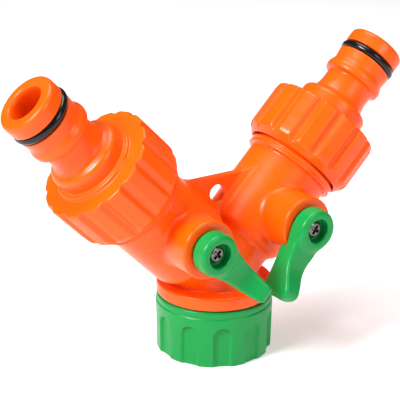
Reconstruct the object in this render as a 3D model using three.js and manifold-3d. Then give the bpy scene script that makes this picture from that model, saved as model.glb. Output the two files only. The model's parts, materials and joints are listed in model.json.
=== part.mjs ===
// Two-way garden hose splitter with a ball valve in each arm.
// Millimetres. +Z is up and the origin is the centre of the inlet nut's mouth.
// The two arms lie in the XZ plane, and the valve levers are on the -Y side.
import * as THREE from 'three';
import { mergeVertices } from 'three/addons/utils/BufferGeometryUtils.js';
import Module from 'manifold-3d';

const wasm = await Module();
wasm.setup();

// ---- driving dimensions -------------------------------------------------------------------------

const GAP = 0.3;                     // running clearance between pieces that touch
const OVERSHOOT = 1;                 // how far a cutting shape passes the surface it opens

const SIDES_LARGE = 20;              // facets round shells, nuts, bores and threads
const SIDES_SMALL = 16;              // facets round stems, seats and screws

const JUNCTION_Z = 22.2;             // height where the three flow axes meet
const ARM_TILT = Math.PI / 4;        // each arm leans this far from vertical
const VALVE_AT = 22.2;               // junction to valve axis, along an arm

const THREAD_PITCH = 1.814;          // 3/4 inch BSP parallel, 14 turns to the inch
const THREAD_MALE_CREST = 13.05;
const THREAD_MALE_ROOT = 12;
const THREAD_FEMALE_CREST = 12.4;
const THREAD_FEMALE_ROOT = 13.4;
const THREAD_BASE_WIDTH = 1.25;      // ridge width where it leaves the wall
const THREAD_SINK = 0.35;            // how far a ridge is rooted in its wall
const THREAD_CREST_WIDTH = 0.3;
const THREAD_LEAD_IN = 0.6;          // chamfer at a threaded end
const MALE_TURNS = 3.5;
const FEMALE_TURNS = 2;
const MALE_THREAD_AT = 38.4;         // ridge height at the start of its first turn, along an arm

const NUT_HEIGHT = 16.15;
const NUT_RADIUS = 16.15;
const NUT_FOOT_RADIUS = 15.9;
const NUT_THREAD_AT = 1.5;           // ridge height at the start of its first turn
const NUT_FOOT_EDGE = 0.4;
const NUT_RIM_STEP = 1.3;            // the rim above the fluted wall
const NUT_RIM_EDGE = 0.5;
const NUT_LIP_THICKNESS = 2.75;      // inward lip that hangs the nut on the tail's flange
const NUT_FLUTES = 11;
const NUT_FLUTE_WIDTH = 4.6;
const NUT_FLUTE_DEPTH = 1.1;
const NUT_FLUTE_TOP = 11.4;
const NUT_FLUTE_TURN = 6.2;          // degrees from -Y round to the first flute

const TAIL_TUBE_RADIUS = 9.9;
const TAIL_BORE = 7.2;
const TAIL_FLANGE_RADIUS = 13;
const TAIL_FLANGE_BOTTOM = 10.9;
const TAIL_FLANGE_THICKNESS = 2.2;
const WASHER_THICKNESS = 2.2;
const WASHER_RADIUS = 13;
const WASHER_BORE = 7.6;

const COLLAR_BOTTOM = NUT_HEIGHT + GAP;
const COLLAR_TOP = 20.1;
const COLLAR_RADIUS = 15.95;
const COLLAR_EDGE = 0.7;
const TAIL_SOCKET_DEPTH = 2.65;      // the tail's tube stands this far inside the collar
const NECK_RADIUS = 11.5;            // the round stub between the collar and the arms
const NECK_RISE = 0.7;               // height of the stub's upright wall above the collar
const NECK_TOP = JUNCTION_Z + 1;
const NECK_BORE = 6.6;

const CORE_RADIUS = 10;              // an arm below its valve housing

const HOUSING_RADIUS = 12;
const HOUSING_START = 13.8;          // end of the round shoulder, along an arm
const SHOULDER_LENGTH = 2.9;
const CHAMBER_RADIUS = 9.4;
const CHAMBER_START = 13.4;
const ARM_BORE = 5.4;
const RING_START = 34.6;             // two stop rings under the outlet thread
const RING_LENGTH = 1;
const RING_RADIUS = 13.3;
const RING_GROOVE_RADIUS = 12.7;
const THREAD_START = 36.8;
const ARM_END = 48.5;

const WEB_TOP = 49.5;
const WEB_FOOT = JUNCTION_Z + 6;     // the web's lowest corner, buried in the crotch
const WEB_EDGE = 4;                  // height of the web's upright ends, buried in the housings
const WEB_BURIED = 3;                // how far those ends reach into the housings
const WEB_THICKNESS = 2;
const WEB_HOLE_Z = 44.5;
const WEB_HOLE_RADIUS = 2.35;

const BOSS_RADIUS = 7.8;
const BOSS_FRONT = 20;               // valve axis heights are measured outwards from the arm's axis
const BOSS_EDGE = 0.5;
const SPIGOT_POCKET_RADIUS = 5;
const SPIGOT_POCKET_FLOOR = 16;
const STEM_BORE = 4.2;
const FLANGE_POCKET_RADIUS = 5.1;
const FLANGE_POCKET_TOP = 10.6;

const BALL_RADIUS = 8.2;
const BALL_BORE = 5;
const BALL_SLOT_WIDTH = 3;
const BALL_SLOT_FLOOR = 6;
const SEAT_RADIUS = 9.1;
const RETAINER_THICKNESS = 3;
const RETAINER_SLOT = 2.4;           // tool slot across the retainer's outer face
const SEAT_TOUCH_RADIUS = 6.8;       // outer edge of the dish that the ball turns against

const STEM_FLANGE_BOTTOM = 8.9;
const STEM_FLANGE_THICKNESS = 1.3;
const STEM_FLANGE_RADIUS = 4.7;
const STEM_RADIUS = 3.85;
const STEM_SQUARE = 5;               // across flats, the drive for the lever
const STEM_TOP = 20.3;
const STEM_RING_AT = 13;
const STEM_GROOVE_RADIUS = 2.5;
const STEM_GROOVE_WIDTH = 1.8;
const STEM_TANG = [2.4, 6];          // thickness and width of the tang in the ball's slot
const STEM_SEAL = { radius: 3.35, halfThickness: 0.55, halfHeight: 0.6 };

const HUB_RADIUS = 5.8;
const HUB_FRONT_RADIUS = 4.9;
const HUB_BACK = BOSS_FRONT + GAP;
const HUB_FRONT = 25;
const HUB_RECESS_RADIUS = 3.2;
const HUB_RECESS_FLOOR = 22;
const HUB_SOCKET_FLOOR = STEM_TOP + GAP;
const HUB_EDGE = 1;                  // height of the hub's rounded front edge
const LEVER_REACH = 20.5;            // hub axis to the handle's tip
const LEVER_BACK = 18;               // the handle's back stands beside the boss, behind its front face
const RIGHT_LEVER_TURN = 11 * Math.PI / 180; // the right valve stands this far from fully open

const SCREW_HEAD_RADIUS = 2.1;
const SCREW_HEAD_HEIGHT = 1.1;
const SCREW_SHANK_RADIUS = 1.3;
const SCREW_TIP = 14.6;
const SCREW_CROSS = [2.4, 0.6];      // length and width of the driver's cross
const SCREW_CROSS_DEPTH = 0.6;

const COUPLER_START = 37.1;          // adapter nut's open end, along an arm
const COUPLER_FACE = 52.7;           // adapter nut's closed front face
const COUPLER_RADIUS = 16.1;
const COUPLER_LIP_RADIUS = 14.1;     // outside of the open end, where the ribs run out
const COUPLER_LIP_LENGTH = 2.4;
const COUPLER_FACE_EDGE = 0.9;
const COUPLER_RIBS = 15;
const COUPLER_RIB_DEPTH = 1;
const COUPLER_RIB_TOP = 0.5;         // share of a rib's spacing taken by its flat top
const COUPLER_RIB_FOOT = 0.93;       // share taken by its foot
const COUPLER_SEAT = 51.1;           // inside floor that presses on the washer
const COUPLER_WASHER_THICKNESS = 2;
const NOZZLE_TIP = 78.7;
const NOZZLE_RADIUS = 8.1;
const NOZZLE_NECK_RADIUS = 7.1;
const NOZZLE_COLLAR_RADIUS = 8.65;   // the lip that the coupler's claws close behind
const NOZZLE_BELL_RADIUS = 10;
const NOZZLE_BORE = 4.7;
const NOZZLE_RING_AT = 73.2;
const NOZZLE_GROOVE_RADIUS = 6.3;
const NOZZLE_GROOVE_WIDTH = 3;
const NOZZLE_SEAL = { radius: 7.55, halfThickness: 0.95, halfHeight: 1.2 };
const SEAL_CORNERS = 6;              // corners of a seal's oval section

// ---- solids: three.js shapes, joined and cut ----------------------------------------------------

// Turns a closed three.js geometry into a boolean solid, with its faces pointing outwards.
function toSolid(geometry) {
  const bare = geometry.clone();
  bare.deleteAttribute('normal');
  bare.deleteAttribute('uv');
  const merged = mergeVertices(bare, 1e-5);
  const position = merged.attributes.position.array;
  const triangles = [];
  let volume = 0;
  const corner = [new THREE.Vector3(), new THREE.Vector3(), new THREE.Vector3()];
  for (let i = 0; i < merged.index.count; i += 3) {
    const ids = [0, 1, 2].map((k) => merged.index.getX(i + k));
    if (new Set(ids).size === 3) {
      triangles.push(...ids);
      corner.forEach((point, k) => point.fromArray(position, 3 * ids[k]));
      volume += corner[0].dot(corner[1].clone().cross(corner[2]));
    }
  }
  if (volume < 0) {
    triangles.reverse();
  }
  return new wasm.Manifold(new wasm.Mesh({
    numProp: 3,
    vertProperties: new Float32Array(position),
    triVerts: new Uint32Array(triangles),
  }));
}

function toGeometry(solid) {
  const mesh = solid.getMesh();
  const geometry = new THREE.BufferGeometry();
  geometry.setAttribute('position', new THREE.BufferAttribute(mesh.vertProperties, 3));
  geometry.setIndex(new THREE.BufferAttribute(mesh.triVerts, 1));
  return geometry;
}

const joined = (...shapes) => shapes.map(toSolid).reduce((a, b) => a.add(b));
const common = (...shapes) => shapes.map(toSolid).reduce((a, b) => a.intersect(b));
const carved = (solid, ...tools) => tools.map(toSolid).reduce((a, b) => a.subtract(b), solid);

// A round shape about +Z from [radius, height] corners.
function turned(corners, sides = SIDES_LARGE) {
  const points = corners.map(([radius, height]) => new THREE.Vector2(radius, height));
  return new THREE.LatheGeometry(points, sides).rotateX(Math.PI / 2);
}

const rod = (radius, bottom, top, sides) =>
  turned([[0, bottom], [radius, bottom], [radius, top], [0, top]], sides);

// A ring about +Z whose section closes on itself.
const ring = (corners, sides) => turned([...corners, corners[0]], sides);

const washer = (bore, radius, bottom, top, sides) =>
  ring([[bore, bottom], [radius, bottom], [radius, top], [bore, top]], sides);

const block = (x, y, bottom, top) =>
  new THREE.BoxGeometry(x, y, top - bottom).translate(0, 0, (top + bottom) / 2);

// Corners of an arc in [radius, height] form, from one angle to another about a centre.
function arc(centre, radii, from, to, steps) {
  return Array.from({ length: steps + 1 }, (_, i) => {
    const angle = from + (to - from) * i / steps;
    return [centre[0] + radii[0] * Math.cos(angle), centre[1] + radii[1] * Math.sin(angle)];
  });
}

// A flat outline pushed along +Z.
function plate(corners, bottom, top) {
  const shape = new THREE.Shape(corners.map(([x, y]) => new THREE.Vector2(x, y)));
  const sheet = new THREE.ExtrudeGeometry(shape, { depth: top - bottom, bevelEnabled: false });
  return sheet.translate(0, 0, bottom);
}

// An O-ring of oval section about +Z, with its middle at the given height.
function sealRing({ radius, halfThickness, halfHeight }, at, sides) {
  const section = arc([radius, at], [halfThickness, halfHeight], 0, 2 * Math.PI, SEAL_CORNERS);
  return toSolid(ring(section.slice(0, -1), sides));
}

// ---- screw threads ------------------------------------------------------------------------------

// The centre line of a thread ridge. Its first and last third of a turn run out into the wall it stands on.
class ThreadPath extends THREE.Curve {
  constructor(wall, runOut, bottom, turns) {
    super();
    Object.assign(this, { wall, runOut, bottom, turns });
  }

  radiusAt(turn) {
    const fade = Math.min(1, 3 * turn, 3 * (this.turns - turn));
    return this.wall + this.runOut * (1 - fade);
  }

  getPoint(t) {
    const turn = t * this.turns;
    const angle = 2 * Math.PI * turn;
    const radius = this.radiusAt(turn);
    return new THREE.Vector3(
      radius * Math.cos(angle),
      radius * Math.sin(angle),
      this.bottom + THREAD_PITCH * turn,
    );
  }

  getPointAt(t) {
    return this.getPoint(t);
  }

  // Keeps the ridge's section radial all the way up the helix.
  computeFrenetFrames(segments) {
    const frames = { tangents: [], normals: [], binormals: [] };
    for (let i = 0; i <= segments; i += 1) {
      const angle = 2 * Math.PI * this.turns * i / segments;
      frames.normals.push(new THREE.Vector3(Math.cos(angle), Math.sin(angle), 0));
      frames.binormals.push(new THREE.Vector3(0, 0, 1));
      frames.tangents.push(new THREE.Vector3(-Math.sin(angle), Math.cos(angle), 0));
    }
    return frames;
  }
}

// A helical ridge from the wall radius to the crest radius, sunk into the wall so that the two join.
function threadRidge(wall, crest, bottom, turns) {
  const rise = crest - wall;
  const flank = (THREAD_BASE_WIDTH - THREAD_CREST_WIDTH) / 2 / Math.abs(rise);
  const sink = -THREAD_SINK * Math.sign(rise);
  const rootHalf = THREAD_BASE_WIDTH / 2 + THREAD_SINK * flank;
  const crestHalf = THREAD_CREST_WIDTH / 2;
  const section = new THREE.Shape([
    new THREE.Vector2(sink, -rootHalf),
    new THREE.Vector2(rise, -crestHalf),
    new THREE.Vector2(rise, crestHalf),
    new THREE.Vector2(sink, rootHalf),
  ]);
  const extrudePath = new ThreadPath(wall, -rise, bottom, turns);
  const steps = Math.round(turns * SIDES_LARGE);
  return new THREE.ExtrudeGeometry(section, { steps, extrudePath, bevelEnabled: false });
}

// ---- pieces about the inlet ---------------------------------------------------------------------

function inletNut() {
  const lipBottom = NUT_HEIGHT - NUT_LIP_THICKNESS;
  const shell = ring([
    [THREAD_FEMALE_ROOT + GAP, 0], [NUT_FOOT_RADIUS - NUT_FOOT_EDGE, 0],
    [NUT_FOOT_RADIUS, NUT_FOOT_EDGE], [NUT_RADIUS, NUT_HEIGHT - NUT_RIM_STEP],
    [NUT_RADIUS - 0.1, NUT_HEIGHT - NUT_RIM_EDGE], [NUT_RADIUS - 0.1 - NUT_RIM_EDGE, NUT_HEIGHT],
    [TAIL_TUBE_RADIUS + GAP, NUT_HEIGHT], [TAIL_TUBE_RADIUS + GAP, lipBottom],
    [THREAD_FEMALE_ROOT, lipBottom], [THREAD_FEMALE_ROOT, THREAD_LEAD_IN],
  ]);
  const ridge = threadRidge(THREAD_FEMALE_ROOT, THREAD_FEMALE_CREST, NUT_THREAD_AT, FEMALE_TURNS);
  const threaded = joined(shell, ridge);
  const half = NUT_FLUTE_WIDTH / 2;
  const outline = [
    [-half, -OVERSHOOT], [half, -OVERSHOOT],
    ...arc([0, NUT_FLUTE_TOP - half], [half, half], 0, Math.PI, 6),
  ];
  const flute = plate(outline, -NUT_FLUTE_DEPTH, 2 * OVERSHOOT).rotateX(Math.PI / 2);
  flute.translate(0, -NUT_RADIUS, 0);
  const flutes = Array.from({ length: NUT_FLUTES }, (_, i) => {
    const turn = THREE.MathUtils.degToRad(NUT_FLUTE_TURN) + 2 * Math.PI * i / NUT_FLUTES;
    return flute.clone().rotateZ(turn);
  });
  return carved(threaded, ...flutes);
}

function inletTail() {
  const flangeTop = TAIL_FLANGE_BOTTOM + TAIL_FLANGE_THICKNESS;
  const tubeTop = COLLAR_BOTTOM + TAIL_SOCKET_DEPTH - GAP;
  return toSolid(ring([
    [TAIL_BORE, TAIL_FLANGE_BOTTOM], [TAIL_FLANGE_RADIUS, TAIL_FLANGE_BOTTOM],
    [TAIL_FLANGE_RADIUS, flangeTop], [TAIL_TUBE_RADIUS, flangeTop],
    [TAIL_TUBE_RADIUS, tubeTop], [TAIL_BORE, tubeTop],
  ]));
}

function inletWasher() {
  const top = TAIL_FLANGE_BOTTOM - GAP;
  return toSolid(washer(WASHER_BORE, WASHER_RADIUS, top - WASHER_THICKNESS, top));
}

// ---- the body -----------------------------------------------------------------------------------

// Turns a shape drawn along an arm into the body's own frame. side is -1 for the left arm and 1 for the right.
const onArm = (shape, side) => shape.rotateY(side * ARM_TILT).translate(0, 0, JUNCTION_Z);

// Points +Z of a shape drawn about the valve axis out through the boss.
const onValve = (shape) => shape.rotateX(Math.PI / 2).translate(0, 0, VALVE_AT);

function armOutside() {
  const shoulder = [HOUSING_RADIUS - CORE_RADIUS, SHOULDER_LENGTH];
  const grooveStart = RING_START + RING_LENGTH;
  const grooveEnd = THREAD_START - RING_LENGTH;
  return turned([
    [0, 0], [CORE_RADIUS, 0], [CORE_RADIUS, HOUSING_START - SHOULDER_LENGTH],
    ...arc([CORE_RADIUS, HOUSING_START], shoulder, -Math.PI / 2, 0, 4),
    [HOUSING_RADIUS, RING_START - 0.2], [RING_RADIUS, RING_START], [RING_RADIUS, grooveStart],
    [RING_GROOVE_RADIUS, grooveStart], [RING_GROOVE_RADIUS, grooveEnd], [RING_RADIUS, grooveEnd],
    [RING_RADIUS, THREAD_START], [THREAD_MALE_ROOT, THREAD_START],
    [THREAD_MALE_ROOT, ARM_END - THREAD_LEAD_IN], [THREAD_MALE_ROOT - THREAD_LEAD_IN, ARM_END],
    [0, ARM_END],
  ]);
}

function bossOutside() {
  return turned([
    [0, 0], [BOSS_RADIUS, 0], [BOSS_RADIUS, BOSS_FRONT - BOSS_EDGE],
    [BOSS_RADIUS - BOSS_EDGE, BOSS_FRONT], [0, BOSS_FRONT],
  ]);
}

function webOutside() {
  const crotch = JUNCTION_Z + HOUSING_RADIUS / Math.cos(ARM_TILT);
  const reach = WEB_TOP - crotch + WEB_BURIED;
  const outline = [
    [0, WEB_FOOT], [reach, WEB_TOP - WEB_EDGE], [reach, WEB_TOP],
    [-reach, WEB_TOP], [-reach, WEB_TOP - WEB_EDGE],
  ];
  return plate(outline, -WEB_THICKNESS / 2, WEB_THICKNESS / 2).rotateX(Math.PI / 2);
}

// The waterway of one arm, widening into the ball's chamber and open at the threaded end.
function armInside() {
  return turned([
    [0, -3 * OVERSHOOT], [ARM_BORE, -3 * OVERSHOOT], [ARM_BORE, CHAMBER_START],
    [CHAMBER_RADIUS, CHAMBER_START], [CHAMBER_RADIUS, ARM_END + OVERSHOOT], [0, ARM_END + OVERSHOOT],
  ]);
}

// The stem's bore, with a pocket for its flange below and one for the lever's spigot in front.
function bossInside() {
  return turned([
    [0, 0], [FLANGE_POCKET_RADIUS, 0], [FLANGE_POCKET_RADIUS, FLANGE_POCKET_TOP],
    [STEM_BORE, FLANGE_POCKET_TOP], [STEM_BORE, SPIGOT_POCKET_FLOOR],
    [SPIGOT_POCKET_RADIUS, SPIGOT_POCKET_FLOOR], [SPIGOT_POCKET_RADIUS, BOSS_FRONT + OVERSHOOT],
    [0, BOSS_FRONT + OVERSHOOT],
  ], SIDES_SMALL);
}

function yBody() {
  const collar = turned([
    [0, COLLAR_BOTTOM], [COLLAR_RADIUS, COLLAR_BOTTOM], [COLLAR_RADIUS, COLLAR_TOP - COLLAR_EDGE],
    [COLLAR_RADIUS - COLLAR_EDGE, COLLAR_TOP], [NECK_RADIUS, COLLAR_TOP],
    [NECK_RADIUS, COLLAR_TOP + NECK_RISE], [CORE_RADIUS, NECK_TOP], [0, NECK_TOP],
  ]);
  const webHole = rod(WEB_HOLE_RADIUS, -WEB_THICKNESS, WEB_THICKNESS, SIDES_SMALL);
  const added = [collar, webOutside()];
  const removed = [
    rod(TAIL_TUBE_RADIUS + GAP, COLLAR_BOTTOM - 2 * OVERSHOOT, COLLAR_BOTTOM + TAIL_SOCKET_DEPTH),
    rod(NECK_BORE, COLLAR_BOTTOM, JUNCTION_Z),
    webHole.rotateX(Math.PI / 2).translate(0, 0, WEB_HOLE_Z),
  ];
  for (const side of [-1, 1]) {
    added.push(
      onArm(armOutside(), side),
      onArm(onValve(bossOutside()), side),
      onArm(threadRidge(THREAD_MALE_ROOT, THREAD_MALE_CREST, MALE_THREAD_AT, MALE_TURNS), side),
    );
    removed.push(onArm(armInside(), side), onArm(onValve(bossInside()), side));
  }
  return carved(joined(...added), ...removed);
}

// ---- pieces along an arm (+Z is the arm's axis, zero at the junction) ---------------------------

// A valve seat. facing is -1 on the inlet side of the ball and 1 on the outlet side.
function seatRing(facing) {
  const contact = BALL_RADIUS + GAP;
  const touch = [ARM_BORE, (ARM_BORE + SEAT_TOUCH_RADIUS) / 2, SEAT_TOUCH_RADIUS];
  const back = VALVE_AT - CHAMBER_START - GAP;
  const dish = touch.map((radius) => [radius, facing * Math.sqrt(contact ** 2 - radius ** 2)]);
  const outer = [[SEAT_RADIUS, dish[2][1]], [SEAT_RADIUS, facing * back], [ARM_BORE, facing * back]];
  return toSolid(ring([...dish, ...outer], SIDES_SMALL).translate(0, 0, VALVE_AT));
}

function seatRetainer() {
  const bottom = 2 * VALVE_AT - CHAMBER_START;
  const top = bottom + RETAINER_THICKNESS;
  const band = toSolid(washer(ARM_BORE, SEAT_RADIUS, bottom, top, SIDES_SMALL));
  const across = 2 * (SEAT_RADIUS + OVERSHOOT);
  return carved(band, block(RETAINER_SLOT, across, top - RETAINER_SLOT / 2, top + OVERSHOOT));
}

function armWasher() {
  const top = COUPLER_SEAT - GAP;
  return toSolid(washer(WASHER_BORE, WASHER_RADIUS, top - COUPLER_WASHER_THICKNESS, top));
}

// The ribbed nut's outside: square-edged ribs, rounded off at the closed face and run out at the lip.
function ribbedNut() {
  const spacing = 2 * Math.PI / COUPLER_RIBS;
  const foot = COUPLER_RADIUS - COUPLER_RIB_DEPTH;
  const outline = Array.from({ length: COUPLER_RIBS }, (_, i) => [
    [-COUPLER_RIB_FOOT, foot], [-COUPLER_RIB_TOP, COUPLER_RADIUS],
    [COUPLER_RIB_TOP, COUPLER_RADIUS], [COUPLER_RIB_FOOT, foot],
  ].map(([share, radius]) => {
    const angle = spacing * (i + (1 + share) / 2);
    return [radius * Math.cos(angle), radius * Math.sin(angle)];
  })).flat();
  const past = COUPLER_RADIUS + 0.4;
  const envelope = turned([
    [0, COUPLER_START], [COUPLER_LIP_RADIUS, COUPLER_START],
    [past, COUPLER_START + COUPLER_LIP_LENGTH + 0.4], [past, COUPLER_FACE - COUPLER_FACE_EDGE],
    [COUPLER_RADIUS - COUPLER_FACE_EDGE, COUPLER_FACE], [0, COUPLER_FACE],
  ]);
  return common(plate(outline, COUPLER_START, COUPLER_FACE), envelope);
}

// The nozzle's outside, from the nut's closed face to the tip: bell, neck, coupler lip, seal groove, nose.
function nozzleOutside() {
  const fromFace = ([radius, height]) => [radius, COUPLER_FACE + height];
  const bell = [
    [0, -1], [NOZZLE_BELL_RADIUS + 0.7, -1], [NOZZLE_BELL_RADIUS + 0.7, 0], [NOZZLE_BELL_RADIUS, 0.8],
    [NOZZLE_BELL_RADIUS, 3.9], [NOZZLE_BELL_RADIUS - 0.5, 4.8], [8.4, 5.6], [7.4, 6.9],
  ];
  const neck = [
    [NOZZLE_NECK_RADIUS, 8.6], [NOZZLE_NECK_RADIUS, 12.1], [8.2, 12.5],
    [NOZZLE_COLLAR_RADIUS, 13.3], [NOZZLE_COLLAR_RADIUS, 14], [NOZZLE_RADIUS, 15.8],
  ];
  const grooveBottom = NOZZLE_RING_AT - NOZZLE_GROOVE_WIDTH / 2;
  const grooveTop = NOZZLE_RING_AT + NOZZLE_GROOVE_WIDTH / 2;
  return turned([
    ...bell.map(fromFace), ...neck.map(fromFace),
    [NOZZLE_RADIUS, grooveBottom], [NOZZLE_GROOVE_RADIUS, grooveBottom],
    [NOZZLE_GROOVE_RADIUS, grooveTop], [NOZZLE_RADIUS, grooveTop],
    [NOZZLE_RADIUS, NOZZLE_TIP - 1.5], [7.7, NOZZLE_TIP - 0.5], [6.9, NOZZLE_TIP], [0, NOZZLE_TIP],
  ]);
}

function adapterInside() {
  const mouth = COUPLER_START - OVERSHOOT;
  return turned([
    [0, mouth], [THREAD_FEMALE_ROOT + GAP, mouth], [THREAD_FEMALE_ROOT + GAP, COUPLER_START + 0.3],
    [THREAD_FEMALE_ROOT, COUPLER_START + 0.8], [THREAD_FEMALE_ROOT, COUPLER_SEAT],
    [WASHER_BORE, COUPLER_SEAT], [NOZZLE_BORE, COUPLER_FACE + 7.5], [NOZZLE_BORE, NOZZLE_TIP - 0.5],
    [NOZZLE_BORE + 0.6, NOZZLE_TIP + 0.1], [0, NOZZLE_TIP + 0.1],
  ]);
}

// A click-coupler nozzle in one moulding with its ribbed nut.
function tapAdapter() {
  const shell = carved(ribbedNut().add(toSolid(nozzleOutside())), adapterInside());
  const bottom = MALE_THREAD_AT + THREAD_PITCH / 2;
  return shell.add(toSolid(threadRidge(THREAD_FEMALE_ROOT, THREAD_FEMALE_CREST, bottom, FEMALE_TURNS)));
}

// ---- pieces about a valve axis (+Z points out through the boss, +X along the handle) ------------

function ball() {
  const sphere = new THREE.SphereGeometry(BALL_RADIUS, 18, 10).rotateX(Math.PI / 2);
  const past = BALL_RADIUS + OVERSHOOT;
  const bore = rod(BALL_BORE, -past, past, SIDES_SMALL).rotateY(Math.PI / 2);
  return carved(toSolid(sphere), bore, block(BALL_SLOT_WIDTH, 2 * BALL_RADIUS, BALL_SLOT_FLOOR, past));
}

function stem() {
  const flangeTop = STEM_FLANGE_BOTTOM + STEM_FLANGE_THICKNESS;
  const grooveBottom = STEM_RING_AT - STEM_GROOVE_WIDTH / 2;
  const grooveTop = STEM_RING_AT + STEM_GROOVE_WIDTH / 2;
  const shoulder = SPIGOT_POCKET_FLOOR - 0.5;
  const shaft = turned([
    [0, STEM_FLANGE_BOTTOM], [STEM_FLANGE_RADIUS, STEM_FLANGE_BOTTOM], [STEM_FLANGE_RADIUS, flangeTop],
    [STEM_RADIUS, flangeTop], [STEM_RADIUS, grooveBottom], [STEM_GROOVE_RADIUS, grooveBottom],
    [STEM_GROOVE_RADIUS, grooveTop], [STEM_RADIUS, grooveTop], [STEM_RADIUS, shoulder], [0, shoulder],
  ], SIDES_SMALL);
  const tang = block(...STEM_TANG, BALL_SLOT_FLOOR + GAP, STEM_FLANGE_BOTTOM + 0.5);
  const drive = block(STEM_SQUARE, STEM_SQUARE, shoulder - 0.5, STEM_TOP);
  const pilot = rod(SCREW_SHANK_RADIUS + GAP, SCREW_TIP - GAP, STEM_TOP + OVERSHOOT, SIDES_SMALL);
  return carved(joined(shaft, tang, drive), pilot);
}

function lever() {
  // Side view: a straight back, a round tip, and a front that dips beside the hub and rises to the tip.
  const side = [
    [0, LEVER_BACK], [18.9, LEVER_BACK], [20.1, 18.9], [LEVER_REACH, 20.3], [LEVER_REACH, 22.2],
    [20.1, 24.2], [19.3, 25.8], [18.3, 26.8], [17.2, 27.1], [15.4, 26.2], [13.2, 24.9], [11, 24.1],
    [8.5, 23.9], [6.4, 24.3], [4.6, HUB_FRONT], [0, HUB_FRONT],
  ];
  // Front view: the hub's width narrows through a waist to a blunt tip.
  const half = [
    [0, 4.8], [3, 4.9], [5.5, 4.4], [8, 3.8], [12, 3.2], [16, 2.75], [19.2, 2.5], [20.1, 1.9],
    [LEVER_REACH, 1],
  ];
  const outline = [...half, ...half.map(([x, y]) => [x, -y]).reverse()];
  const profile = plate(side, -HUB_RADIUS, HUB_RADIUS).rotateX(Math.PI / 2);
  const blade = common(profile, plate(outline, SPIGOT_POCKET_FLOOR, HUB_FRONT + LEVER_REACH));
  const handle = carved(blade, rod(BOSS_RADIUS + GAP, SPIGOT_POCKET_FLOOR, HUB_BACK));
  const hub = joined(
    turned([
      [0, HUB_BACK], [HUB_RADIUS, HUB_BACK], [HUB_RADIUS - 0.3, HUB_FRONT - HUB_EDGE],
      [HUB_FRONT_RADIUS, HUB_FRONT], [0, HUB_FRONT],
    ]),
    rod(SPIGOT_POCKET_RADIUS - 0.4, SPIGOT_POCKET_FLOOR + GAP, HUB_BACK + 0.5, SIDES_SMALL),
  );
  const socket = STEM_SQUARE + 2 * GAP;
  return carved(
    hub.add(handle),
    rod(HUB_RECESS_RADIUS, HUB_RECESS_FLOOR, HUB_FRONT + OVERSHOOT, SIDES_SMALL),
    rod(SCREW_SHANK_RADIUS + GAP, HUB_SOCKET_FLOOR - OVERSHOOT, HUB_FRONT, SIDES_SMALL),
    block(socket, socket, SPIGOT_POCKET_FLOOR - OVERSHOOT, HUB_SOCKET_FLOOR),
  );
}

function leverScrew() {
  const seat = HUB_RECESS_FLOOR + GAP;
  const top = seat + SCREW_HEAD_HEIGHT;
  const blank = toSolid(turned([
    [0, SCREW_TIP], [SCREW_SHANK_RADIUS - 0.5, SCREW_TIP], [SCREW_SHANK_RADIUS, SCREW_TIP + 0.8],
    [SCREW_SHANK_RADIUS, seat], [SCREW_HEAD_RADIUS, seat], [SCREW_HEAD_RADIUS, top - 0.5],
    [SCREW_HEAD_RADIUS - 0.6, top], [0, top],
  ], SIDES_SMALL));
  const [length, width] = SCREW_CROSS;
  const floor = top - SCREW_CROSS_DEPTH;
  return carved(
    blank,
    block(width, length, floor, top + OVERSHOOT),
    block(length, width, floor, top + OVERSHOOT),
  );
}

// ---- the assembly -------------------------------------------------------------------------------

const orange = { color: 0xff6a13, roughness: 0.35, metalness: 0 };
const green = { color: 0x23b45a, roughness: 0.35, metalness: 0 };
const rubber = { color: 0x121214, roughness: 0.4, metalness: 0 };
const white = { color: 0xf0efe8, roughness: 0.5, metalness: 0 };
const steel = { color: 0xc9c6c0, roughness: 0.25, metalness: 1 };

function piece(name, solid, finish) {
  const mesh = new THREE.Mesh(toGeometry(solid), new THREE.MeshStandardMaterial(finish));
  mesh.name = name;
  return mesh;
}

const splitter = new THREE.Group();
splitter.add(
  piece('y_body', yBody(), orange),
  piece('inlet_tail', inletTail(), orange),
  piece('inlet_nut', inletNut(), green),
  piece('inlet_washer', inletWasher(), rubber),
);

for (const [name, side, turn] of [['left', -1, 0], ['right', 1, RIGHT_LEVER_TURN]]) {
  const arm = new THREE.Group();
  arm.position.z = JUNCTION_Z;
  arm.rotation.y = side * ARM_TILT;
  arm.add(
    piece(`${name}_inner_seat`, seatRing(-1), white),
    piece(`${name}_outer_seat`, seatRing(1), white),
    piece(`${name}_seat_retainer`, seatRetainer(), white),
    piece(`${name}_adapter_washer`, armWasher(), rubber),
    piece(`${name}_adapter`, tapAdapter(), orange),
    piece(`${name}_nozzle_oring`, sealRing(NOZZLE_SEAL, NOZZLE_RING_AT, SIDES_LARGE), rubber),
  );
  // +X of the valve frame points back to the junction and +Z out through the boss.
  const valve = new THREE.Group();
  const outwards = new THREE.Matrix4().makeBasis(
    new THREE.Vector3(0, 0, -1), new THREE.Vector3(1, 0, 0), new THREE.Vector3(0, -1, 0),
  );
  valve.position.z = VALVE_AT;
  valve.quaternion.setFromRotationMatrix(outwards);
  valve.rotateZ(turn);
  valve.add(
    piece(`${name}_ball`, ball(), white),
    piece(`${name}_stem`, stem(), white),
    piece(`${name}_stem_oring`, sealRing(STEM_SEAL, STEM_RING_AT, SIDES_SMALL), rubber),
    piece(`${name}_lever`, lever(), green),
    piece(`${name}_lever_screw`, leverScrew(), steel),
  );
  arm.add(valve);
  splitter.add(arm);
}

export default splitter;
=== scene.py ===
"""Looks of the two-outlet hose splitter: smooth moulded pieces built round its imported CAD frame.

Shapes are worked out in millimetres. An arm's own frame has +Z out along the arm from the
junction, and a valve's own frame has +Z out through its boss and +X along the open lever.
"""

import json
import math

import bpy
import numpy as np
from mathutils import Matrix, Vector


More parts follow.
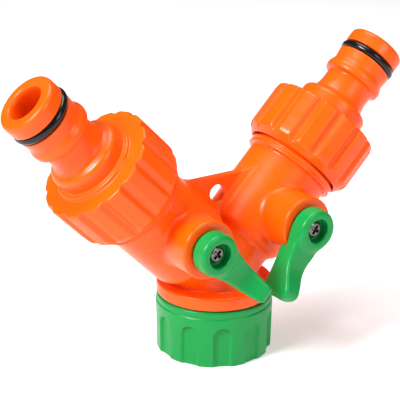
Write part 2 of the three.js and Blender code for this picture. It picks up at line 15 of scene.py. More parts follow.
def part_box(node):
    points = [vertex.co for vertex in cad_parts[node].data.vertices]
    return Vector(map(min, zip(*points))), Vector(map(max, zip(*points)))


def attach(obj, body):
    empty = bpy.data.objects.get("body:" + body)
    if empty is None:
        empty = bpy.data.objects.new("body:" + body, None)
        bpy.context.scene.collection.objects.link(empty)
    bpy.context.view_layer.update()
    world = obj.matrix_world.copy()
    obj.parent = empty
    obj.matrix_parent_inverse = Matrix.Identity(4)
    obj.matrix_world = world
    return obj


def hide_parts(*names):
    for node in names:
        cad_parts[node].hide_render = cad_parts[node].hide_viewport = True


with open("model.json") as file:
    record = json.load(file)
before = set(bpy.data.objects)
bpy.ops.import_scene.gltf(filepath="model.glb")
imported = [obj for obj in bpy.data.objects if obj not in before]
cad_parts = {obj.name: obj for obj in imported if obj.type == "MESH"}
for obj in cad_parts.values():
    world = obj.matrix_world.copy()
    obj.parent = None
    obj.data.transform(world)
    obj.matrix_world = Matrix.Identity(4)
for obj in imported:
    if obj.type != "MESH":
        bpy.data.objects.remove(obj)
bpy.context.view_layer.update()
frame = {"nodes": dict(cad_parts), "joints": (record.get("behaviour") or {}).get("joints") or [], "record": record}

# ---- places and sizes taken from the frame -------------------------------------------------------

MM = 0.001
SIDES = ("left", "right")
joints = {joint["name"]: joint for joint in frame["joints"]}


def box(node):
    """Lowest and highest corner of a CAD node, in millimetres."""
    return [np.array(corner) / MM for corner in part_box(node)]


def arm_frame(side):
    """From an arm's own frame to the row frame."""
    joint = joints[f"{side}_adapter_turn"]
    axis = Vector(joint["axis"]).normalized()
    across = Vector((0, 1, 0))
    turn = Matrix((across.cross(axis), across, axis)).transposed().to_4x4()
    return Matrix.Translation(Vector(joint["pos_m"]) / MM) @ turn


JUNCTION_Z = joints["right_adapter_turn"]["pos_m"][2] / MM
VALVE_AT = (arm_frame("right").inverted() @ (Vector(joints["right_valve_turn"]["pos_m"]) / MM)).z


def valve_frame(side):
    """From a valve's own frame to the row frame. A lever at rest may stand a little off open."""
    outwards = Matrix(((0, 1, 0), (0, 0, -1), (-1, 0, 0))).to_4x4()
    turn = -math.radians(joints[f"{side}_valve_turn"]["range_deg"][0])
    place = Matrix.Translation((0, 0, VALVE_AT))
    return arm_frame(side) @ place @ outwards @ Matrix.Rotation(turn, 4, "Z")


GAP = 0.3       # running clearance between pieces
PAST = 9.0      # how far a cutting shape runs past the surface it opens
NUT_TOP = box("inlet_nut")[1][2]
NUT_RADIUS = box("inlet_nut")[1][0]
COLLAR_BOTTOM = box("y_body")[0][2]
WASHER_BOTTOM, WASHER_TOP = (corner[2] for corner in box("inlet_washer"))

# ---- driving sizes of the mouldings --------------------------------------------------------------

PITCH = 1.814
RIDGE_HALF_BASE, RIDGE_FLANK = 0.625, 0.475
MALE_ROOT, MALE_CREST, MALE_START, MALE_TURNS = 12.0, 13.05, 38.4, 3.5
FEMALE_ROOT, FEMALE_CREST, FEMALE_TURNS, NUT_THREAD_START = 13.4, 12.4, 2.0, 1.5

COLLAR_TOP, COLLAR_RADIUS = COLLAR_BOTTOM + 3.65, 15.95
NECK_RADIUS, NECK_BORE, CORE_RADIUS, SHOULDER_LENGTH = 11.5, 6.6, 10.0, 2.9
TUBE_RADIUS, TUBE_BORE, TUBE_TOP, FLANGE_THICKNESS = 9.9, 7.2, COLLAR_BOTTOM + 2.35, 2.2
NUT_LIP = 2.75
WASHER_BORE, WASHER_RADIUS, ADAPTER_WASHER = 7.6, 13.0, 2.0
HOUSING_RADIUS, HOUSING_START = 12.0, 13.8
CHAMBER_RADIUS, CHAMBER_START, ARM_BORE = 9.4, 13.4, 5.4
RING_START, THREAD_START, ARM_END, RING_RADIUS = 34.6, 36.8, 48.5, 13.3
RING_GROOVE_DEPTH, RING_GROOVE_HALF = 0.5, 0.35
BOSS_RADIUS, BOSS_FRONT = 7.8, 20.0
# radius, bottom and top of the stem flange's pocket, the stem's bore and the spigot's pocket
BOSS_BORES = ((5.1, 0, 10.6), (4.2, 0, 18), (5.0, 16, 30))
WEB_TOP, WEB_FOOT, WEB_HALF, HOLE_Z, HOLE_RADIUS = 49.5, JUNCTION_Z + 6, 1.0, 44.5, 2.35
COUPLER_START, COUPLER_FACE, COUPLER_RADIUS, COUPLER_SEAT = 37.1, 52.7, 16.1, 51.1
TIP, NOZZLE_BORE, NOZZLE_RADIUS = 78.7, 4.7, 8.1
SEAL_AT, SEAL_GROOVE, SEAL_WIDTH = 73.2, 6.3, 2.5
SEAL_RADIUS, SEAL_HALF_THICKNESS, SEAL_HALF_HEIGHT = 7.45, 0.95, 1.12
HUB_RADIUS, HUB_BACK, HUB_FRONT, HUB_TAPER = 5.8, BOSS_FRONT + GAP, 25.0, 0.08
LEVER_BACK, LEVER_REACH = 18.0, 20.5
RECESS_RADIUS, RECESS_FLOOR = 3.2, 22.0
SPIGOT_RADIUS, SPIGOT_FOOT = 4.6, 16.3
SOCKET_HALF, SOCKET_FLOOR = 2.8, 20.6
SCREW_HOLE, SCREW_HEAD_RADIUS, SCREW_HEAD_HEIGHT = 1.6, 2.1, 1.1
SCREW_SHANK_RADIUS, SCREW_TIP = 1.3, 14.6
CROSS_NARROW, CROSS_WIDE, CROSS_LEAN, CROSS_FLOOR = 0.18, 1.1, 0.2, 0.2
BALL_RADIUS, BALL_BORE, BALL_SLOT_HALF, BALL_SLOT_FLOOR = 8.2, 5.0, 1.5, 6

# how finely the pieces are meshed: field cells in millimetres, and steps about a turned piece
BODY_CELL, LEVER_CELL, SCREW_CELL, BALL_CELL = 0.36, 0.2, 0.07, 0.3
NUT_STEPS, ADAPTER_STEPS, SEAL_STEPS, PLAIN_STEPS = 396, 360, 192, 160

# ---- solid shapes as distance fields -------------------------------------------------------------


def soft_min(a, b, fillet):
    """Joins two shapes, with a round fillet where they meet."""
    h = np.maximum(fillet - np.abs(a - b), 0) / fillet
    return np.minimum(a, b) - fillet * 0.5 * (1 + h - np.sqrt(1 - h * (h - 2)))


def soft_max(a, b, fillet):
    """What two shapes share, with a rounded edge."""
    return -soft_min(-a, -b, fillet)


def carve(shape, tool, edge):
    return soft_max(shape, -tool, edge)


def disc(radial, height, radius, low, high, edge):
    """A round or flat-sided plug between two heights, from the sideways distance to its axis."""
    return soft_max(radial - radius, np.abs(height - (low + high) / 2) - (high - low) / 2, edge)


def skin(field, low, high, cell):
    """Vertices and quads of the surface where field(x, y, z) is zero."""
    low = np.array(low, float)
    counts = np.ceil((np.array(high) - low) / cell).astype(int) + 1
    xs, ys, zs = (low[k] + cell * np.arange(counts[k]) for k in range(3))
    flat_y, flat_z = np.meshgrid(ys, zs, indexing="ij")
    value = np.stack([field(np.full_like(flat_y, x), flat_y, flat_z) for x in xs])
    value = value.astype(np.float32)
    inside = value < 0
    corners = [(i, j, k) for i in (0, 1) for j in (0, 1) for k in (0, 1)]
    nx, ny, nz = counts - 1
    count = sum(inside[i:nx + i, j:ny + j, k:nz + k].astype(np.uint8) for i, j, k in corners)
    cells = np.argwhere((count > 0) & (count < 8))
    number = np.full(count.shape, -1)
    number[tuple(cells.T)] = np.arange(len(cells))
    # each vertex starts at the mean of the places where its cell's edges cross the surface
    total, crossings = np.zeros((len(cells), 3)), np.zeros((len(cells), 1))
    for start in corners:
        for axis in range(3):
            if start[axis] == 0:
                end = np.array(start) + np.eye(3, dtype=int)[axis]
                a = value[tuple((cells + start).T)][:, None]
                b = value[tuple((cells + end).T)][:, None]
                crossed = (a < 0) != (b < 0)
                share = np.where(crossed, a / np.where(crossed, a - b, 1), 0)
                total += np.where(crossed, np.array(start) + share * (end - start), 0)
                crossings += crossed
    points = low + cell * (cells + total / crossings)
    quads = []
    for axis in range(3):
        b, c = np.eye(3, dtype=int)[(axis + 1) % 3], np.eye(3, dtype=int)[(axis + 2) % 3]
        first = np.moveaxis(inside, axis, 0)
        changed = np.argwhere(first[:-1] != first[1:])
        changed = np.insert(changed[:, 1:], axis, changed[:, 0], axis=1)
        around = ((1, 1), (0, 1), (0, 0), (1, 0))
        ring = np.stack([number[tuple((changed - i * b - j * c).T)] for i, j in around], 1)
        leaving = inside[tuple(changed.T)]
        ring[~leaving] = ring[~leaving][:, ::-1]
        quads.append(ring)
    return settle(field, points, cell), np.concatenate(quads)


def settle(field, points, cell):
    """Moves points onto the surface along the field's slope."""
    step = 0.05 * cell
    for _ in range(4):
        x, y, z = points.T
        value = field(x, y, z)
        slope = np.stack([
            field(x + step, y, z) - field(x - step, y, z),
            field(x, y + step, z) - field(x, y - step, z),
            field(x, y, z + step) - field(x, y, z - step),
        ], 1) / (2 * step)
        move = -value[:, None] * slope / np.maximum((slope ** 2).sum(1), 0.05)[:, None]
        points = points + np.clip(move, -0.4 * cell, 0.4 * cell)
    return points


# ---- round shapes as turned sections -------------------------------------------------------------


def section(*corners, longest=0.6):
    """A closed (radius, height) outline, outer wall upwards. A corner's third number rounds it."""
    outline = []
    for i, corner in enumerate(corners):
        here = np.array(corner[:2], float)
        legs = [np.array(corners[k % len(corners)][:2]) - here for k in (i - 1, i + 1)]
        rounding = corner[2] if len(corner) > 2 else 0
        reach = min([rounding] + [0.49 * np.linalg.norm(leg) for leg in legs])
        if reach == 0:
            outline.append(here)
            continue
        start, end = (here + reach * leg / np.linalg.norm(leg) for leg in legs)
        for t in np.linspace(0, 1, 6):
            outline.append((1 - t) ** 2 * start + 2 * t * (1 - t) * here + t ** 2 * end)
    dense = []
    for here, after in zip(outline, outline[1:] + outline[:1]):
        parts = max(1, math.ceil(np.linalg.norm(after - here) / longest))
        dense += [here + (after - here) * part / parts for part in range(parts)]
    return np.array(dense)


def turned(outline, steps, bend=None):
    """Vertices and quads of a closed outline turned about +Z.

    bend(radius, height, angle) may move the wall in or out.
    """
    angle = np.arange(steps) * 2 * math.pi / steps
    radius = np.repeat(outline[:, :1], steps, axis=1)
    height = np.repeat(outline[:, 1:], steps, axis=1)
    if bend:
        radius = bend(radius, height, angle[None, :])
    points = np.stack([radius * np.cos(angle), radius * np.sin(angle), height], 2).reshape(-1, 3)
    rows, columns = np.meshgrid(np.arange(len(outline)), np.arange(steps), indexing="ij")
    after_row, after_column = (rows + 1) % len(outline), (columns + 1) % steps
    ring = [(rows, columns), (rows, after_column), (after_row, after_column), (after_row, columns)]
    return points, np.stack([row * steps + column for row, column in ring], 2).reshape(-1, 4)


def ridge(height, angle, start, turns):
    """How far a screw thread's ridge has risen, from 0 at its root to 1 at its crest."""
    lap = np.mod(angle, 2 * math.pi) / (2 * math.pi)
    turn = np.round((height - start) / PITCH - lap) + lap
    fade = np.clip(np.minimum(3 * turn, 3 * (turns - turn)), 0, 1)
    off = np.abs(height - start - PITCH * turn)
    return fade * np.clip((RIDGE_HALF_BASE - off) / RIDGE_FLANK, 0, 1)


# ---- the body ------------------------------------------------------------------------------------


def body_field(x, y, z):
    """One arm's half, mirrored to the other side; only the thread keeps its hand."""
    mirror = np.where(x < 0, -1.0, 1.0)
    x = np.abs(x)
    lean = math.sqrt(0.5)
    across, along = (x - (z - JUNCTION_Z)) * lean, (x + (z - JUNCTION_Z)) * lean
    radial = np.hypot(across, y)
    from_axis = np.hypot(x, y)
    valve = np.hypot(across, along - VALVE_AT)
    outward = -y

    core = disc(radial, along, CORE_RADIUS, 0, RING_START, 0.5)
    joint = np.sqrt(from_axis ** 2 + (z - JUNCTION_Z) ** 2) - CORE_RADIUS
    stub = disc(from_axis, z, NECK_RADIUS, COLLAR_BOTTOM, JUNCTION_Z + 0.5, 2.5)
    shape = soft_min(np.minimum(core, joint), stub, 2.0)
    shape = soft_min(shape, disc(from_axis, z, COLLAR_RADIUS, COLLAR_BOTTOM, COLLAR_TOP, 0.6), 0.8)
    shoulder = HOUSING_START - SHOULDER_LENGTH
    dome = disc(radial, along, HOUSING_RADIUS - 0.08, shoulder, HOUSING_START + 6, 2.6)
    shape = soft_min(shape, dome, 1.0)
    housing = disc(radial, along, HOUSING_RADIUS, HOUSING_START, RING_START + 0.5, 0.2)
    shape = np.minimum(shape, housing)
    boss = disc(valve, outward, BOSS_RADIUS, 0, BOSS_FRONT, 0.5)
    shape = soft_min(shape, boss, 0.9)
    reach = (WEB_TOP - JUNCTION_Z) / 2
    sheet = np.maximum(np.abs(y) - WEB_HALF, np.maximum(z - WEB_TOP, x - reach))
    sheet = np.maximum(sheet, WEB_FOOT - z)
    shape = soft_min(shape, soft_max(sheet, z - WEB_TOP, 0.4), 2.0)
    from_groove = along - (RING_START + THREAD_START) / 2
    groove = RING_GROOVE_DEPTH * np.exp(-(from_groove / RING_GROOVE_HALF) ** 2)
    rings = disc(radial + groove, along, RING_RADIUS, RING_START, THREAD_START, 0.4)
    shape = soft_min(shape, rings, 0.3)

    angle = np.arctan2(y, across * mirror)
    rise = (MALE_CREST - MALE_ROOT) * ridge(along, angle, MALE_START, MALE_TURNS)
    shape = np.minimum(shape, 0.6 * disc(radial, along, MALE_ROOT + rise, RING_START, ARM_END, 0.4))

    under = COLLAR_BOTTOM - PAST
    hollow = disc(from_axis, z, NECK_BORE, under, JUNCTION_Z, 0.3)
    for bore in (
        disc(radial, along, ARM_BORE, -3, ARM_END, 0.3),
        disc(from_axis, z, TUBE_RADIUS + GAP, under, TUBE_TOP + GAP, 0.2),
        disc(radial, along, CHAMBER_RADIUS, CHAMBER_START, ARM_END + PAST, 0.3),
        *(disc(valve, outward, radius, low, high, 0.2) for radius, low, high in BOSS_BORES),
        disc(np.hypot(x, z - HOLE_Z), y, HOLE_RADIUS, -5, 5, 0.1),
    ):
        hollow = np.minimum(hollow, bore)
    return carve(shape, hollow, 0.25)


def make_body():
    low, high = box("y_body")
    points, quads = skin(body_field, low - 1, high + 1, BODY_CELL)
    add_piece("body_moulding", points, quads, Matrix(), "body", "body_orange", "y_body")


# ---- pieces about the inlet ----------------------------------------------------------------------

FLUTES, FLUTE_HALF, FLUTE_DEPTH, FLUTE_TOP, FLUTE_TURN = 11, 2.3, 1.1, 11.4, math.radians(-83.8)
FLUTE_EDGE, FLUTE_CROWN = 0.5, 0.2


def threaded(radius, rise):
    """Moves the wall at the female thread's root inwards, up to its crest."""
    inner = radius - (FEMALE_ROOT - FEMALE_CREST) * rise
    return np.where(np.abs(radius - FEMALE_ROOT) < 0.05, inner, radius)


def flute_wall(radius, height, angle):
    """Scooped flutes with arched tops that run out through the nut's foot; the thread inside."""
    apart = 2 * math.pi / FLUTES
    off = np.mod(angle - FLUTE_TURN + apart / 2, apart) - apart / 2
    above = np.maximum(height - (FLUTE_TOP - FLUTE_HALF), 0)
    within = FLUTE_HALF - np.hypot(NUT_RADIUS * off, above)
    share = np.clip(within / FLUTE_EDGE + 0.4, 0, 1)
    share = share * share * (3 - 2 * share)
    scoop = FLUTE_CROWN * (NUT_RADIUS * off / FLUTE_HALF) ** 2
    floor = np.minimum(radius, NUT_RADIUS - FLUTE_DEPTH + scoop)
    outer = radius + share * (floor - radius)
    rise = ridge(height, angle, NUT_THREAD_START, FEMALE_TURNS)
    return np.where(radius > NUT_RADIUS - 1.6, outer, threaded(radius, rise))


def make_inlet():
    lip = NUT_TOP - NUT_LIP
    tube_hole = TUBE_RADIUS + GAP
    nut = section(
        (FEMALE_ROOT + GAP, 0, 0.1), (NUT_RADIUS - 0.25, 0, 0.6), (NUT_RADIUS, NUT_TOP - 2.2, 0.3),
        (NUT_RADIUS - 0.3, NUT_TOP - 1.9, 0.1), (NUT_RADIUS - 0.2, NUT_TOP - 1.4, 0.4),
        (NUT_RADIUS - 0.2, NUT_TOP, 0.8), (tube_hole, NUT_TOP, 0.2), (tube_hole, lip, 0.2),
        (FEMALE_ROOT, lip, 0.2), (FEMALE_ROOT, 0.6, 0.1), longest=0.22,
    )
    points, quads = turned(nut, NUT_STEPS, flute_wall)
    add_piece("inlet_nut_moulding", points, quads, Matrix(), "inlet_nut", "nut_green", "inlet_nut")
    low, flange_radius = WASHER_TOP + GAP, box("inlet_tail")[1][0]
    high = low + FLANGE_THICKNESS
    tail = section(
        (TUBE_BORE, low, 0.2), (flange_radius, low, 0.3), (flange_radius, high, 0.3),
        (TUBE_RADIUS, high, 0.2), (TUBE_RADIUS, TUBE_TOP, 0.2), (TUBE_BORE, TUBE_TOP, 0.2),
    )
    points, quads = turned(tail, PLAIN_STEPS)
    add_piece("inlet_tail_moulding", points, quads, Matrix(), "body", "tail_orange", "inlet_tail")
    add_washer("inlet_washer", Matrix(), "inlet_nut", WASHER_BOTTOM, WASHER_TOP)


def add_washer(node, to_row, body, low, high):
    """A flat seal ring between two heights, standing for a CAD node and riding on a body."""
    corners = ((WASHER_BORE, low), (WASHER_RADIUS, low), (WASHER_RADIUS, high), (WASHER_BORE, high))
    outline = section(*((*corner, 0.4) for corner in corners))
    points, quads = turned(outline, PLAIN_STEPS)
    add_piece(f"{node}_ring", points, quads, to_row, body, "washer_rubber", node)


# ---- pieces along an arm -------------------------------------------------------------------------

RIBS, RIB_DEPTH, RIB_TOP, RIB_FOOT = 15, 1.0, 0.5, 0.93


def rib_wall(radius, height, angle):
    """Flat-topped ribs with sloping flanks round the outside, and the thread inside."""
    off = np.abs(np.mod(angle * RIBS / (2 * math.pi), 1) - 0.5) * 2
    dip = np.clip((off - RIB_TOP) / (RIB_FOOT - RIB_TOP), 0, 1)
    dip = 0.5 * dip + 0.5 * dip * dip * (3 - 2 * dip)
    flat_top = (COUPLER_RADIUS - 0.09) / np.cos(np.minimum(off, RIB_TOP) * math.pi / RIBS)
    outer = soft_min(radius, flat_top - RIB_DEPTH * dip, 0.5)
    ribbed = (radius > COUPLER_RADIUS - 3) & (height <= COUPLER_FACE + 0.01)
    rise = ridge(height, angle, MALE_START + PITCH / 2, FEMALE_TURNS)
    return np.where(ribbed, outer, threaded(radius, rise))


def make_adapter(side):
    face, low, high = COUPLER_FACE, SEAL_AT - SEAL_WIDTH / 2, SEAL_AT + SEAL_WIDTH / 2
    rim = COUPLER_RADIUS + 0.3
    outline = section(
        (FEMALE_ROOT + GAP, COUPLER_START, 0.1), (14.1, COUPLER_START, 0.2),
        (rim, COUPLER_START + 2.6, 1.4), (rim, face, 1.5), (11.4, face, 0.4),
        (11.2, face + 0.9, 0.7), (10.1, face + 1.0, 0.3), (10.0, face + 4.9, 1.3),
        (7.7, face + 5.9, 1.0), (7.1, face + 8.5, 1.4), (7.1, face + 12.1, 0.5),
        (8.45, face + 12.5, 0.6), (8.65, face + 14.3, 0.9), (7.75, face + 15.8, 1.0),
        (NOZZLE_RADIUS, low, 0.25),
        (SEAL_GROOVE, low, 0.3), (SEAL_GROOVE, high, 0.3), (NOZZLE_RADIUS, high, 0.25),
        (NOZZLE_RADIUS, TIP, 2.0), (5.05, TIP, 0.7), (NOZZLE_BORE, TIP - 1.0, 0.5),
        (NOZZLE_BORE, face + 7.5, 1.5), (WASHER_BORE, COUPLER_SEAT, 0.3),
        (FEMALE_ROOT, COUPLER_SEAT, 0.3), (FEMALE_ROOT, COUPLER_START + 0.8, 0.2),
        (FEMALE_ROOT + GAP, COUPLER_START + 0.4, 0.1), longest=0.3,
    )
    to_row, body = arm_frame(side), f"{side}_adapter"
    points, quads = turned(outline, ADAPTER_STEPS, rib_wall)
    name = f"{side}_adapter_moulding"
    add_piece(name, points, quads, to_row, body, "adapter_orange", f"{side}_adapter")
    angle = np.linspace(0, 2 * math.pi, 33)[:-1]
    seal_radius = SEAL_RADIUS + SEAL_HALF_THICKNESS * np.cos(angle)
    seal_height = SEAL_AT + SEAL_HALF_HEIGHT * np.sin(angle)
    points, quads = turned(np.stack([seal_radius, seal_height], 1), SEAL_STEPS)
    name = f"{side}_nozzle_seal"
    add_piece(name, points, quads, to_row, body, "oring_rubber", f"{side}_nozzle_oring")
    floor = COUPLER_SEAT - GAP
    add_washer(f"{side}_adapter_washer", to_row, f"{side}_washer", floor - ADAPTER_WASHER, floor)


# ---- pieces about a valve ------------------------------------------------------------------------


def smooth_curve(points):
    """A smooth line through (position, value) points, as a function of position."""
    at, value = np.array(points, float).T
    slope = np.gradient(value, at)

    def curve(x):
        i = np.clip(np.searchsorted(at, x) - 1, 0, len(at) - 2)
        width = at[i + 1] - at[i]
        t = np.clip((x - at[i]) / width, 0, 1)
        rise = value[i + 1] - value[i]
        first, last = slope[i] * width - rise, rise - slope[i + 1] * width
        bow = t * (1 - t) * ((1 - t) * first + t * last)
        return value[i] + t * rise + bow

    return curve


# along the handle from the valve's axis: the height of its front, and half its width
lever_front = smooth_curve([
    (0, 23.0), (3, 23.2), (5, 23.7), (7, 23.95), (9, 23.9), (11, 24.1), (13.2, 24.9), (15.4, 26.2),
    (17.2, 27.1), (18.5, 27.5), (20.5, 27.6),
])
lever_half = smooth_curve([
    (0, 4.4), (3, 4.6), (5.5, 4.3), (8, 3.8), (12, 3.2), (16, 2.75), (18.2, 2.5), (19.4, 2.2),
    (20.5, 1.6),
])


def lever_field(x, y, z):
    radial = np.hypot(x, y)
    side_view = soft_max(0.9 * (z - lever_front(x)), x - LEVER_REACH, 3.2)
    side_view = soft_max(side_view, LEVER_BACK - z, 2.4)
    handle = soft_max(soft_max(side_view, np.abs(y) - lever_half(x), 0.9), -x, 1.0)
    hub = disc(radial + HUB_TAPER * (z - HUB_BACK), z, HUB_RADIUS, HUB_BACK, HUB_FRONT, 1.0)
    boss = disc(radial, z, BOSS_RADIUS + GAP, 0, HUB_BACK, 0.1)
    shape = carve(soft_min(handle, hub, 1.6), boss, 0.3)
    shape = np.minimum(shape, disc(radial, z, SPIGOT_RADIUS, SPIGOT_FOOT, HUB_BACK + 1, 0.3))
    shape = carve(shape, disc(radial, z, RECESS_RADIUS, RECESS_FLOOR, 30, 0.2), 0.6)
    shape = carve(shape, radial - SCREW_HOLE, 0.1)
    square = np.maximum(np.abs(x), np.abs(y))
    return carve(shape, disc(square, z, SOCKET_HALF, 0, SOCKET_FLOOR, 0.1), 0.1)


def screw_field(x, y, z):
    radial, seat = np.hypot(x, y), RECESS_FLOOR + GAP
    head = disc(radial, z, SCREW_HEAD_RADIUS, seat, seat + SCREW_HEAD_HEIGHT, 0.6)
    shape = np.minimum(head, disc(radial, z, SCREW_SHANK_RADIUS, SCREW_TIP, seat + 0.5, 0.3))
    spread = CROSS_LEAN * (z - seat)
    narrow, wide = CROSS_NARROW + spread, CROSS_WIDE + spread
    for a, b in ((x, y), (y, x)):
        slot = soft_max(np.abs(a) - narrow, np.abs(b) - wide, 0.1)
        shape = carve(shape, np.maximum(slot, seat + CROSS_FLOOR - z), 0.08)
    return shape


def ball_field(x, y, z):
    shape = carve(np.sqrt(x * x + y * y + z * z) - BALL_RADIUS, np.hypot(y, z) - BALL_BORE, 0.4)
    return carve(shape, np.maximum(np.abs(x) - BALL_SLOT_HALF, BALL_SLOT_FLOOR - z), 0.1)


# each piece's name, shape, search box, cell size, material slot and CAD node
VALVE_PIECES = (
    ("handle", lever_field, (-7, -7, 15), (22, 7, 29), LEVER_CELL, "lever_green", "lever"),
    ("screw_head", screw_field, (-2.5, -2.5, 14), (2.5, 2.5, 23.9), SCREW_CELL, "screw_steel",
     "lever_screw"),
    ("bored_ball", ball_field, (-9, -9, -9), (9, 9, 9), BALL_CELL, "ball_white", "ball"),
)


def make_valve(side):
    to_row, body = valve_frame(side), f"{side}_valve"
    for name, field, low, high, cell, slot, node in VALVE_PIECES:
        points, quads = skin(field, low, high, cell)
        add_piece(f"{side}_{name}", points, quads, to_row, body, slot, f"{side}_{node}")


# ---- materials -----------------------------------------------------------------------------------


class Finish:
    """A node material whose colour, roughness and surface all vary a little over the piece."""

    def __init__(self, name):
        self.material = bpy.data.materials.new(name)
        self.material.use_nodes = True
        self.nodes = self.material.node_tree.nodes
        self.links = self.material.node_tree.links
        self.shader = self.nodes["Principled BSDF"]
        self.place = self.nodes.new("ShaderNodeTexCoord").outputs["Object"]

    def set(self, **values):
        for name, value in values.items():
            self.shader.inputs[name.replace("_", " ")].default_value = value

    def noise(self, per_metre, detail=3, stretch=(1, 1, 1)):
        mapping = self.nodes.new("ShaderNodeMapping")
        mapping.inputs["Scale"].default_value = stretch
        self.links.new(self.place, mapping.inputs["Vector"])
        texture = self.nodes.new("ShaderNodeTexNoise")
        texture.inputs["Scale"].default_value = per_metre
        texture.inputs["Detail"].default_value = detail
        self.links.new(mapping.outputs["Vector"], texture.inputs["Vector"])
        return texture.outputs["Fac"]

    def spread(self, value, low, high, to_low, to_high):
        node = self.nodes.new("ShaderNodeMapRange")
        ends = {"From Min": low, "From Max": high, "To Min": to_low, "To Max": to_high}
        for name, number in ends.items():
            node.inputs[name].default_value = number
        self.links.new(value, node.inputs["Value"])
        return node.outputs["Result"]

    def mixed(self, share, first, second):
        node = self.nodes.new("ShaderNodeMix")
        node.data_type = "RGBA"
        self.links.new(share, node.inputs["Factor"])
        for colour, socket in ((first, node.inputs[6]), (second, node.inputs[7])):
            if isinstance(colour, tuple):
                socket.default_value = (*colour, 1)
            else:
                self.links.new(colour, socket)
        return node.outputs[2]

    def bump(self, *layers):
        """Each layer is a height value and its depth in metres."""
        normal = None
        for height, depth in layers:
            node = self.nodes.new("ShaderNodeBump")
            node.inputs["Distance"].default_value = depth
            self.links.new(height, node.inputs["Height"])
            if normal:
                self.links.new(normal, node.inputs["Normal"])
            normal = node.outputs["Normal"]
        self.links.new(normal, self.shader.inputs["Normal"])

    def link(self, value, socket):
        self.links.new(value, self.shader.inputs[socket])


def moulded(name, colour, pale, deep, roughness):
    """Glossy injection-moulded plastic: cloudy pigment, fine grain and faint scuffs."""
    finish = Finish(name)
    cloud = finish.spread(finish.noise(55, 4), 0.3, 0.7, 0, 1)
    tint = finish.mixed(cloud, deep, colour)
    scuffs = finish.spread(finish.noise(420, 5, (1, 0.5, 0.4)), 0.64, 0.8, 0, 0.25)
    tint = finish.mixed(scuffs, tint, pale)
    finish.link(tint, "Base Color")
    sheen = finish.spread(finish.noise(260, 4), 0.3, 0.7, roughness - 0.05, roughness + 0.07)
    finish.link(sheen, "Roughness")
    finish.bump((finish.noise(90, 2), 0.00005), (finish.noise(1500, 3), 0.00001))
    finish.set(IOR=1.5, Specular_IOR_Level=0.3)
    return finish.material


def rubber(name, colour, roughness):
    """Black rubber with a dusty bloom and a fine skin."""
    finish = Finish(name)
    bloom = finish.spread(finish.noise(300, 5), 0.45, 0.75, 0, 0.5)
    finish.link(finish.mixed(bloom, colour, (0.02, 0.02, 0.021)), "Base Color")
    sheen = finish.spread(finish.noise(500, 3), 0.3, 0.7, roughness - 0.08, roughness + 0.1)
    finish.link(sheen, "Roughness")
    finish.bump((finish.noise(1800, 3), 0.00002))
    finish.set(Specular_IOR_Level=0.35)
    return finish.material


def plated_steel(name):
    """Dull plated screw steel with fine drawn lines and darker greasy patches at random; its colours are painted
    dark as shade.
    """
    finish = Finish(name)
    grime = finish.spread(finish.noise(900, 5), 0.5, 0.75, 0, 0.6)
    # painted shade: both steel colours are set dark so the head reads as it does in the lever's shaded recess
    finish.link(finish.mixed(grime, (0.17, 0.16, 0.15), (0.05, 0.045, 0.04)), "Base Color")
    finish.link(finish.spread(finish.noise(700, 3), 0.3, 0.7, 0.18, 0.34), "Roughness")
    finish.bump((finish.noise(2500, 2, (1, 6, 1)), 0.00002))
    finish.set(Metallic=1.0)
    return finish.material


# main, pale and deep colour, and roughness
ORANGE = ((1.0, 0.106, 0.001), (1.0, 0.15, 0.01), (0.98, 0.09, 0.0006), 0.3)
GREEN = ((0.001, 0.29, 0.056), (0.01, 0.35, 0.08), (0.0006, 0.26, 0.048), 0.33)
WHITE = ((0.82, 0.81, 0.77), (0.88, 0.87, 0.84), (0.74, 0.73, 0.69), 0.45)

MOULDED = {
    ORANGE: ("body_orange", "tail_orange", "adapter_orange"),
    GREEN: ("nut_green", "lever_green"),
    WHITE: ("seat_white", "retainer_white", "ball_white", "stem_white"),
}
finishes = {slot: moulded(slot, *look) for look, slots in MOULDED.items() for slot in slots}
finishes["washer_rubber"] = rubber("washer_rubber", (0.012, 0.012, 0.013), 0.6)
finishes["oring_rubber"] = rubber("oring_rubber", (0.0025, 0.0025, 0.003), 0.22)
finishes["screw_steel"] = plated_steel("screw_steel")

# ---- putting the pieces in the scene -------------------------------------------------------------


def add_piece(name, points, quads, to_row, body, slot, node):
    """Adds a mesh that stands for a CAD node, with the finish of its material slot."""
    matrix = np.array(to_row)
    placed = (points @ matrix[:3, :3].T + matrix[:3, 3]) * MM
    mesh = bpy.data.meshes.new(name)
    mesh.from_pydata(placed.tolist(), [], quads.tolist())
    mesh.shade_smooth()
    mesh.materials.append(finishes[slot])
    piece = bpy.data.objects.new(name, mesh)
    bpy.context.scene.collection.objects.link(piece)
    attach(piece, body)
    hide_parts(node)


def dress_carried_nodes():
    """The CAD pieces that stay in view get the finishes of their slots."""
    for entry in frame["record"]["subparts"]:
        mesh = frame["nodes"][entry["node"]].data
        mesh.materials.clear()
        mesh.materials.append(finishes[entry["material_slot"]])


make_body()
make_inlet()
for side in SIDES:
    make_adapter(side)
    make_valve(side)
dress_carried_nodes()

# ---- stage, light and camera ---------------------------------------------------------------------

FLOOR_SIZE, FLOOR_GREY, FLOOR_GLOW, WORLD_BRIGHTNESS = 6, 0.76, 0.4, 0.1
# in degrees; the target in millimetres, the distance in metres
CAMERA_AZIMUTH, CAMERA_ELEVATION, CAMERA_ROLL = -34.681, 19.901, 0.538
CAMERA_TARGET, CAMERA_DISTANCE = (-5.01, 0, 43.25), 0.33356
LENS_MM, SENSOR_MM, NEAREST = 112.65, 36, 0.01


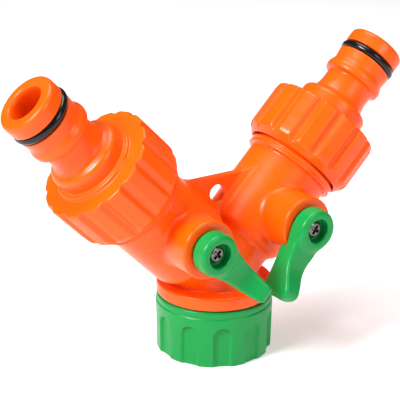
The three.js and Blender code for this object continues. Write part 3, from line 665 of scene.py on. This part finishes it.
def make_floor():
    bpy.ops.mesh.primitive_plane_add(size=FLOOR_SIZE)
    floor = bpy.context.object
    floor.name = "studio_floor"
    material = bpy.data.materials.new("studio_floor")
    material.use_nodes = True
    shader = material.node_tree.nodes["Principled BSDF"]
    shader.inputs["Base Color"].default_value = (FLOOR_GREY, FLOOR_GREY, FLOOR_GREY, 1)
    shader.inputs["Roughness"].default_value = 0.9
    shader.inputs["Emission Color"].default_value = (1, 1, 1, 1)
    shader.inputs["Emission Strength"].default_value = FLOOR_GLOW
    floor.data.materials.append(material)


def add_lamp(name, place, target, size, watts):
    """A soft square lamp at a place in metres."""
    data = bpy.data.lights.new(name, "AREA")
    data.size = size
    data.energy = watts
    lamp = bpy.data.objects.new(name, data)
    lamp.location = place
    lamp.rotation_euler = (Vector(target) - Vector(place)).to_track_quat("-Z", "Y").to_euler()
    bpy.context.scene.collection.objects.link(lamp)


def make_world(brightness):
    """An even white surround."""
    world = bpy.data.worlds.new("studio")
    world.use_nodes = True
    background = world.node_tree.nodes["Background"]
    background.inputs["Color"].default_value = (1, 1, 1, 1)
    background.inputs["Strength"].default_value = brightness
    bpy.context.scene.world = world


def make_camera():
    """Looks at the splitter from the front left and above, as a product picture does."""
    azimuth, elevation = math.radians(CAMERA_AZIMUTH), math.radians(CAMERA_ELEVATION)
    roll = math.radians(CAMERA_ROLL)
    target = Vector(CAMERA_TARGET) * MM
    level = math.cos(elevation)
    back = Vector((math.sin(azimuth) * level, -math.cos(azimuth) * level, math.sin(elevation)))
    right = Vector((math.cos(azimuth), math.sin(azimuth), 0))
    up = back.cross(right)
    right, up = (
        math.cos(roll) * right + math.sin(roll) * up,
        math.cos(roll) * up - math.sin(roll) * right,
    )
    data = bpy.data.cameras.new("camera")
    data.lens, data.sensor_width, data.clip_start = LENS_MM, SENSOR_MM, NEAREST
    camera = bpy.data.objects.new("camera", data)
    camera.matrix_world = Matrix((right, up, back)).transposed().to_4x4()
    camera.location = target + CAMERA_DISTANCE * back
    bpy.context.scene.collection.objects.link(camera)
    bpy.context.scene.camera = camera
    return target, back, right


make_floor()
aim, towards_camera, rightwards = make_camera()
upwards = Vector((0, 0, 1))
key_place = aim + 0.42 * towards_camera - 0.5 * rightwards + 0.37 * upwards
add_lamp("key", key_place, aim, 0.22, 9)
top_place = aim + 0.7 * upwards - 0.1 * towards_camera
add_lamp("top", top_place, aim, 0.4, 3.5)
fill_place = aim + 0.5 * rightwards + 0.5 * towards_camera + 0.2 * upwards
add_lamp("fill", fill_place, aim, 0.3, 2.0)
make_world(WORLD_BRIGHTNESS)
bpy.context.scene.view_settings.view_transform = "Standard"
